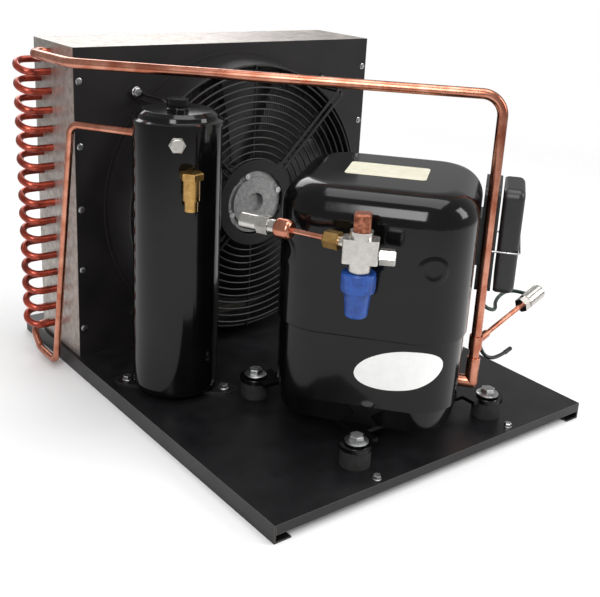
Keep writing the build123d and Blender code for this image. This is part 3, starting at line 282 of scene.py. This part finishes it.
def turned(name, profile, sides=40):
    """A turned or polygonal piece: a disc extruded along Z and resized at each (height, radius)."""
    height, radius = profile[0]
    bpy.ops.mesh.primitive_circle_add(
        vertices=sides, radius=radius * MM, fill_type="NGON", location=(0, 0, height * MM)
    )
    piece = bpy.context.object
    piece.name = name
    bpy.ops.object.transform_apply(location=True)
    bpy.ops.object.mode_set(mode="EDIT")
    bpy.ops.mesh.select_all(action="SELECT")
    for next_height, next_radius in profile[1:]:
        bpy.ops.mesh.extrude_region_move(
            TRANSFORM_OT_translate={"value": (0, 0, (next_height - height) * MM)}
        )
        ratio = next_radius / radius
        bpy.ops.transform.resize(
            value=(ratio, ratio, 1), center_override=(0, 0, next_height * MM)
        )
        height, radius = next_height, next_radius
    bpy.ops.object.mode_set(mode="OBJECT")
    return piece


def stand_at(piece, point, axis=(0, 0, 1), spin=0.0):
    """Stands a piece made along Z at a point in mm, its axis along another direction."""
    lean = Vector((0, 0, 1)).rotation_difference(Vector(axis)).to_matrix().to_4x4()
    piece.data.transform(
        Matrix.Translation(Vector(point) * MM) @ lean @ Matrix.Rotation(radians(spin), 4, "Z")
    )
    return piece


def copy_of(piece):
    """A copy with its own mesh."""
    copied = piece.copy()
    copied.data = piece.data.copy()
    bpy.context.scene.collection.objects.link(copied)
    return copied


def joined(name, pieces):
    """Several meshes as one piece."""
    bpy.ops.object.select_all(action="DESELECT")
    for piece in pieces:
        piece.select_set(True)
    bpy.context.view_layer.objects.active = pieces[0]
    if len(pieces) > 1:
        bpy.ops.object.join()
    whole = bpy.context.object
    whole.name = name
    whole.select_set(False)
    return whole


def wire(name, points, radius, closed=False, sides=3):
    """Round wire through points in mm, made a mesh."""
    line = bpy.data.curves.new(name, "CURVE")
    line.dimensions = "3D"
    line.bevel_depth = radius * MM
    line.bevel_resolution = sides
    line.use_fill_caps = True
    run = line.splines.new("POLY")
    run.points.add(len(points) - 1)
    for spot, point in zip(run.points, points):
        spot.co = (*(Vector(point) * MM), 1)
    run.use_cyclic_u = closed
    piece = bpy.data.objects.new(name, line)
    bpy.context.scene.collection.objects.link(piece)
    bpy.ops.object.select_all(action="DESELECT")
    piece.select_set(True)
    bpy.context.view_layer.objects.active = piece
    bpy.ops.object.convert(target="MESH")
    piece = bpy.context.object
    piece.select_set(False)
    return piece


def hand_over(piece, finish, body, slot, *stands_for, smooth=35):
    """Gives the piece its finish and its body, and hides the nodes it stands for."""
    settle(piece, smooth)
    piece.data.materials.clear()
    piece.data.materials.append(finish)
    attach(piece, body)
    if stands_for:
        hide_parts(*stands_for)
    return piece


# ---- cords ----
lead_diameter = 5


def lead(name, points, finish, node):
    """A lead on the smooth line through its solid's points, in mm."""
    line = bpy.data.curves.new(name, "CURVE")
    line.dimensions = "3D"
    line.bevel_depth = lead_diameter / 2 * MM
    line.bevel_resolution = 5
    line.resolution_u = 14
    run = line.splines.new("NURBS")
    run.points.add(len(points) - 1)
    for spot, point in zip(run.points, points):
        spot.co = (*(Vector(point) * MM), 1)
    run.order_u = 3
    run.use_endpoint_u = True
    piece = bpy.data.objects.new(name, line)
    bpy.context.scene.collection.objects.link(piece)
    line.materials.append(finish)
    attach(piece, "unit")
    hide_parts(node)
    return piece


heater_gland = Vector((120.5, -240.8, 174))
heater_points = [heater_gland + Vector(step) for step in
                 [(0, 0, 0), (0, 0, -34), (8, 2, -68), (27, 4, -94), (58, 8, -104), (84, 12, -100)]]
tip_profile = [(-9, 2.6), (-8.4, 3.1), (4, 3.1), (5.6, 2.7), (6.6, 1.8), (7, 0.6)]
heater_tip = turned("heater_lead_tip", tip_profile)
stand_at(heater_tip, heater_points[-1], heater_points[-1] - heater_points[-2])
hand_over(heater_tip, black_vinyl, "unit", "lead_black")
lead("heater_lead_cord", heater_points, black_vinyl, "heater_lead")

switch_gland = Vector((135.8, -227.9, 174))
switch_entry = Vector((208.5, -242.5, 158.9))
switch_points = [
    switch_gland,
    switch_gland + Vector((0, 0, -20)),
    switch_gland + Vector((26, -6, -34)),
    switch_entry + Vector((-30.6, 26, -10)),
    switch_entry + Vector((-1.6, 26, 0)),
    switch_entry,
]
lead("switch_lead_cord", switch_points, grey_vinyl, "switch_lead")

# ---- pipes: round copper tube with arcs at the corners ----
def bent_route(corners, bends, steps=12):
    """Points along straight runs joined by arcs of the given radii, in mm."""
    corners = [Vector(corner) for corner in corners]
    route = [corners[0]]
    for before, corner, after, bend in zip(corners, corners[1:], corners[2:], bends):
        come = (corner - before).normalized()
        go = (after - corner).normalized()
        half = come.angle(go) / 2
        centre = corner + (go - come).normalized() * bend / cos(half)
        start = corner - come * bend * tan(half)
        axis = come.cross(go).normalized()
        for step in range(steps + 1):
            turned_by = Matrix.Rotation(2 * half * step / steps, 3, axis)
            route.append(centre + turned_by @ (start - centre))
    return route + [corners[-1]]


discharge_route = bent_route(
    [(-251, 218.5, 429.9), (-269, 218.5, 429.9), (-261, 116, 429.9), (98.307, -259.399, 429.9),
     (98.307, -259.399, 78)], [14, 40, 25],
)
hand_over(wire("discharge_pipe", discharge_route, 6.35, sides=6), copper, "unit", "copper",
          "discharge_line", smooth=60)
liquid_route = bent_route(
    [(-242.8, 251.5, 36.2), (-268, 251.5, 36.2), (-268, 225.5, 11), (-268, 172, 11),
     (-256.488, 130.207, 352), (-204.291, 46.674, 352)], [14, 14, 14, 14],
)
hand_over(wire("liquid_pipe", liquid_route, 4.76, sides=6), copper, "unit", "copper",
          "liquid_line", smooth=60)

# ---- fan guard: round wires welded on four ribs ----
fan_height = 228
fan_centre = Vector((0, 0, fan_height))
first_ring = 52
ring_pitch = 10
ring_level = 91.5
guard_pieces = []
for ring in range(14):
    bpy.ops.mesh.primitive_torus_add(
        major_segments=96, minor_segments=8, major_radius=(first_ring + ring_pitch * ring) * MM,
        minor_radius=1.45 * MM, location=(0, ring_level * MM, fan_height * MM), rotation=(pi / 2, 0, 0),
    )
    guard_pieces.append(bpy.context.object)
    bpy.ops.object.transform_apply(location=True, rotation=True)
for quarter in range(4):
    out = Vector((cos(quarter * pi / 2), 0, sin(quarter * pi / 2)))
    reach = [fan_centre + Vector((0, 94.4, 0)) + out * span for span in (49, 80, 120, 160, 193)]
    guard_pieces.append(wire("rib", reach, 1.5))
guard = joined("guard_wires", guard_pieces)
hand_over(guard, wire_coat, "unit", "black_paint", "fan_guard", smooth=60)

# ---- coil: folded fins on the tubes ----
bpy.ops.mesh.primitive_grid_add(x_subdivisions=7, y_subdivisions=1, size=1)
fin = bpy.context.object
fin.data.transform(Matrix.Rotation(-pi / 2, 4, "Y") @ Matrix.Rotation(pi / 2, 4, "Z"))
across = sorted({round(vertex.co.y, 4) for vertex in fin.data.vertices})
# Real fin stock is 0.1 mm thick at 1.8 mm spacing: it is drawn thicker and wider apart to show.
for vertex in fin.data.vertices:
    fold = across.index(round(vertex.co.y, 4)) % 2
    vertex.co.x = (0.45 if fold else -0.45) * MM
    vertex.co.y = vertex.co.y * 62.6 * MM + 235 * MM
    vertex.co.z = vertex.co.z * 418.6 * MM + 233.05 * MM
body_of_fin = fin.modifiers.new("stock", "SOLIDIFY")
body_of_fin.thickness = 0.9 * MM
body_of_fin.offset = 0
bpy.ops.object.select_all(action="DESELECT")
fin.select_set(True)
bpy.context.view_layer.objects.active = fin
bpy.ops.object.modifier_apply(modifier="stock")
fin_pitch = 4.0
fin_places = [-240 + fin_pitch * i for i in range(121)]
fins = []
for place in fin_places:
    one = copy_of(fin)
    one.data.transform(Matrix.Translation((place * MM, 0, 0)))
    fins.append(one)
bpy.data.objects.remove(fin)
coil_fins = joined("coil_fins", fins)
hand_over(coil_fins, fin_stock, "unit", "fins", "coil_fin_pack", smooth=10)

# The tubes run straight through the fins, the back column half a row lower than the front.
row_pitch = 25.4
tube_rows = 16
tube_reach = 242
tube_radius = 4.7
tube_pieces = []
for column, lowest in ((218.5, 48.9), (251.5, 36.2)):
    for row in range(tube_rows):
        level = lowest + row_pitch * row
        ends = [(-tube_reach, column, level), (tube_reach, column, level)]
        tube_pieces.append(wire("tube", ends, tube_radius))
hand_over(joined("coil_tubes", tube_pieces), lacquered_copper, "unit", "copper", smooth=60)


# ---- fasteners ----
def flange_bolt(name, across_flats, head, flange, flange_height, shank, depth):
    """Flanged hexagon bolt along Z: its flange rests at height 0, its shank goes below."""
    flat = across_flats / 2 / cos(pi / 6)
    hexagon = turned(name, [(0, flat), (head - 0.9, flat), (head, flat * 0.86), (head, flat * 0.5)], 6)
    skirt = turned("flange", [(0, flange), (flange_height * 0.45, flange),
                              (flange_height, flange * 0.82), (flange_height, flange * 0.4)], 40)
    stem = turned("shank", [(-depth, shank * 0.8), (-depth + 0.8, shank), (0.2, shank)], 20)
    return joined(name, [skirt, hexagon, stem])


def fastener_group(name, pattern, spots, axis, finish, slot, node):
    """The same fastener at each spot, each turned a little differently, as one piece."""
    group = [stand_at(copy_of(pattern), spot, axis, 17 + 23 * i) for i, spot in enumerate(spots)]
    bpy.data.objects.remove(pattern)
    return hand_over(joined(name, group), finish, "unit", slot, node, smooth=30)


arm_reach = 222
arm_angles = [pi / 4 + i * pi / 2 for i in range(4)]
arm_spots = [(arm_reach * cos(a), 144, fan_height + arm_reach * sin(a)) for a in arm_angles]
fastener_group("arm_flange_bolts", flange_bolt("arm_bolt", 10, 6, 6.5, 1.4, 2.9, 11), arm_spots,
               (0, -1, 0), zinc, "zinc", "arm_bolts")
shroud_spots = [(side * 237, 146, 233.05 + (row - 2) * 84.42) for side in (-1, 1) for row in range(5)]
fastener_group("shroud_hex_screws", flange_bolt("shroud_screw", 6.4, 2.6, 4.5, 0.8, 2.2, 6), shroud_spots,
               (0, -1, 0), zinc, "zinc", "shroud_screws")
foot_spots = [(8 + sx * 110, -172 + sy * 100, 51) for sx in (-1, 1) for sy in (-1, 1)]
fastener_group("compressor_flange_bolts", flange_bolt("compressor_bolt", 16, 8, 14, 2.2, 4.9, 29),
               foot_spots, (0, 0, 1), zinc, "zinc", "compressor_bolts")
receiver_spots = [(-130.2, -40.65, 25.2), (-223.8, 46.65, 25.2)]
fastener_group("receiver_flange_bolts", flange_bolt("receiver_bolt", 10, 5.8, 6.7, 1.3, 3.0, 3.2),
               receiver_spots, (0, 0, 1), zinc, "zinc", "receiver_bolts")
stud_spots = [(-102, -310, 22), (118, -310, 22)]
fastener_group("base_stud_nuts", flange_bolt("stud_nut", 8.4, 5, 5.4, 1.0, 2.5, 0.1), stud_spots,
               (0, 0, 1), zinc, "zinc", "base_studs")

# ---- suction valve: moulded grip ribs on the dust cap ----
suction_x, suction_y = -111.778, -265.581
rib_reach = 17.95
rib_foot = 236.5
ribs = []
for turn_step in range(24):
    around_cap = turn_step * pi / 12
    spot = (suction_x + rib_reach * cos(around_cap), suction_y + rib_reach * sin(around_cap),
            rib_foot)
    rib = turned("rib", [(0, 0.5), (1, 0.95), (14, 0.95), (15, 0.5)], 8)
    ribs.append(stand_at(rib, spot))
hand_over(joined("dust_cap_ribs", ribs), blue_polythene, "dust_cap", "blue_plastic", smooth=50)

# ---- compressor: weld bead, pressed dimples, blank labels ----
compressor_centre = Vector((8, -172, 0))


def shell_loop(side, corner, height, steps=10):
    """Points of the shell's rounded square outline at a height, in mm."""
    half = side / 2 - corner
    loop = []
    for quarter, (sx, sy) in enumerate([(1, 1), (-1, 1), (-1, -1), (1, -1)]):
        for step in range(steps + 1):
            angle = quarter * pi / 2 + step * pi / 2 / steps
            loop.append((sx * half + corner * cos(angle), sy * half + corner * sin(angle)))
    swing = radians(-140)
    across, along = cos(swing), sin(swing)
    return [compressor_centre + Vector((x * across - y * along, x * along + y * across, height))
            for x, y in loop]


def pressed_on(name, width, height, azimuth, level, lean, target, lift, reach=170):
    """An oval skin laid on the shell: width and height in mm, centred at an azimuth and a level."""
    bpy.ops.mesh.primitive_circle_add(vertices=56, radius=0.5, fill_type="TRIFAN")
    skin = bpy.context.object
    skin.name = name
    bpy.ops.object.mode_set(mode="EDIT")
    bpy.ops.mesh.select_all(action="SELECT")
    bpy.ops.mesh.subdivide(number_cuts=5)
    bpy.ops.object.mode_set(mode="OBJECT")
    facing = Vector((cos(azimuth), sin(azimuth), 0))
    upright = facing.to_track_quat("Z", "Y").to_matrix().to_4x4()
    start = compressor_centre + facing * reach + Vector((0, 0, level))
    skin.matrix_world = (Matrix.Translation(start * MM) @ upright @ Matrix.Rotation(lean, 4, "Z")
                         @ Matrix.Diagonal((width * MM, height * MM, 1, 1)))
    grip = skin.modifiers.new("grip", "SHRINKWRAP")
    grip.target = target
    grip.wrap_method = "PROJECT"
    grip.use_project_z = True
    grip.use_negative_direction = True
    grip.use_positive_direction = False
    grip.offset = lift * MM
    bpy.ops.object.select_all(action="DESELECT")
    skin.select_set(True)
    bpy.context.view_layer.objects.active = skin
    bpy.ops.object.modifier_apply(modifier="grip")
    bpy.ops.object.transform_apply(location=True, rotation=True, scale=True)
    return skin


label = pressed_on("blank_oval_label", 100, 48, radians(-118), 126, radians(13),
                   nodes["compressor_lower_shell"], 0.35)
hand_over(label, label_film, "unit", "nickel", smooth=60)


def pressed_mark(name, azimuth, level):
    """A round mark pressed out of the upper shell: a raised ring round a flat middle."""
    mark = pressed_on(name, 36, 36, azimuth, level, 0, nodes["compressor_upper_shell"], 0.05)
    facing = Vector((cos(azimuth), sin(azimuth), 0))
    middle = (compressor_centre + Vector((0, 0, level))) * MM
    for vertex in mark.data.vertices:
        offset = vertex.co - middle
        away = (offset - facing * offset.dot(facing)).length / (18 * MM)
        rise = 1.1 * max(0.0, 1 - abs(away - 0.72) / 0.26) ** 0.7 + (0.25 if away < 0.72 else 0)
        vertex.co += facing * rise * MM
    return hand_over(mark, enamel, "unit", "gloss_black", smooth=60)


pressed_mark("pressed_mark_left", radians(173), 250)
pressed_mark("pressed_mark_right", radians(-107), 250)

weld_bead = wire("shell_weld_bead", shell_loop(222, 58, 162.3), 1.5, closed=True)
hand_over(weld_bead, enamel, "unit", "gloss_black", smooth=60)

bpy.ops.mesh.primitive_plane_add(size=1)
plate = bpy.context.object
plate.name = "blank_top_plate"
plate.data.transform(Matrix.Translation(Vector((8, -172, 331.25)) * MM)
                     @ Matrix.Rotation(radians(-50), 4, "Z") @ Matrix.Diagonal((0.096, 0.062, 1, 1)))
bpy.ops.object.mode_set(mode="EDIT")
bpy.ops.mesh.select_all(action="SELECT")
bpy.ops.mesh.bevel(offset=5 * MM, segments=5, affect="VERTICES")
bpy.ops.mesh.extrude_region_move(TRANSFORM_OT_translate={"value": (0, 0, 0.3 * MM)})
bpy.ops.object.mode_set(mode="OBJECT")
hand_over(plate, plate_film, "unit", "nickel", smooth=30)

# ---- floor and light ----
bpy.ops.mesh.primitive_plane_add(size=60)
floor = bpy.context.object
floor.name = "studio_floor"
paper = bpy.data.materials.new("Seamless_paper")
paper.use_nodes = True
paper_tree = paper.node_tree
paper_tree.nodes.clear()
matt = add_node(
    paper_tree, "ShaderNodeBsdfPrincipled", {"Base Color": linear("#f4f4f4"), "Roughness": 0.95}
)
# The paper fades into the white studio from 0.9 m to 2.1 m out, so that no horizon shows.
paper_place = add_node(paper_tree, "ShaderNodeTexCoord")
distance = add_node(
    paper_tree, "ShaderNodeVectorMath", {"operation": "LENGTH"}, {0: (paper_place, "Object")}
)
fade = add_node(
    paper_tree, "ShaderNodeMapRange",
    {"From Min": 0.9, "From Max": 2.1, "interpolation_type": "SMOOTHSTEP"},
    {"Value": (distance, "Value")},
)
gone = add_node(paper_tree, "ShaderNodeBsdfTransparent")
laid = add_node(
    paper_tree, "ShaderNodeMixShader", None, {0: (fade, 0), 1: (matt, 0), 2: (gone, 0)}
)
add_node(paper_tree, "ShaderNodeOutputMaterial", None, {"Surface": (laid, 0)})
floor.data.materials.append(paper)

world = bpy.data.worlds.new("Studio")
bpy.context.scene.world = world
world.use_nodes = True
world_tree = world.node_tree
world_tree.nodes.clear()
view_ray = add_node(world_tree, "ShaderNodeLightPath")
strength = add_node(
    world_tree, "ShaderNodeMapRange", {"To Min": 0.4, "To Max": 1.0},
    {"Value": (view_ray, "Is Camera Ray")},
)
sky = add_node(
    world_tree, "ShaderNodeBackground", {"Color": linear("#ffffff")}, {"Strength": (strength, 0)}
)
add_node(world_tree, "ShaderNodeOutputWorld", None, {"Surface": (sky, 0)})


def softbox(name, place, aim, width, height, power):
    """A rectangular soft lamp at a place, turned to its aim, in metres and watts."""
    bpy.ops.object.light_add(type="AREA", location=place)
    lamp = bpy.context.object
    lamp.name = name
    lamp.data.shape = "RECTANGLE"
    lamp.data.size = width
    lamp.data.size_y = height
    lamp.data.energy = power
    way = Vector(aim) - Vector(place)
    lamp.rotation_euler = way.to_track_quat("-Z", "Y").to_euler()
    return lamp


lamps = [
    softbox("key_left", (-1.9, -1.7, 1.9), (0, 0, 0.2), 0.7, 1.7, 44),
    softbox("fill_right", (1.9, -1.8, 1.5), (0, 0, 0.2), 0.8, 1.4, 28),
    softbox("top", (0.2, -0.3, 2.4), (0, -0.05, 0.1), 1.6, 1.6, 30),
    softbox("back", (0.6, 2.2, 1.6), (0, 0.1, 0.2), 1.6, 1.2, 22),
]

view = bpy.context.scene.view_settings
view.view_transform = "Standard"
for body_object in list(bpy.context.selected_objects):
    body_object.select_set(False)
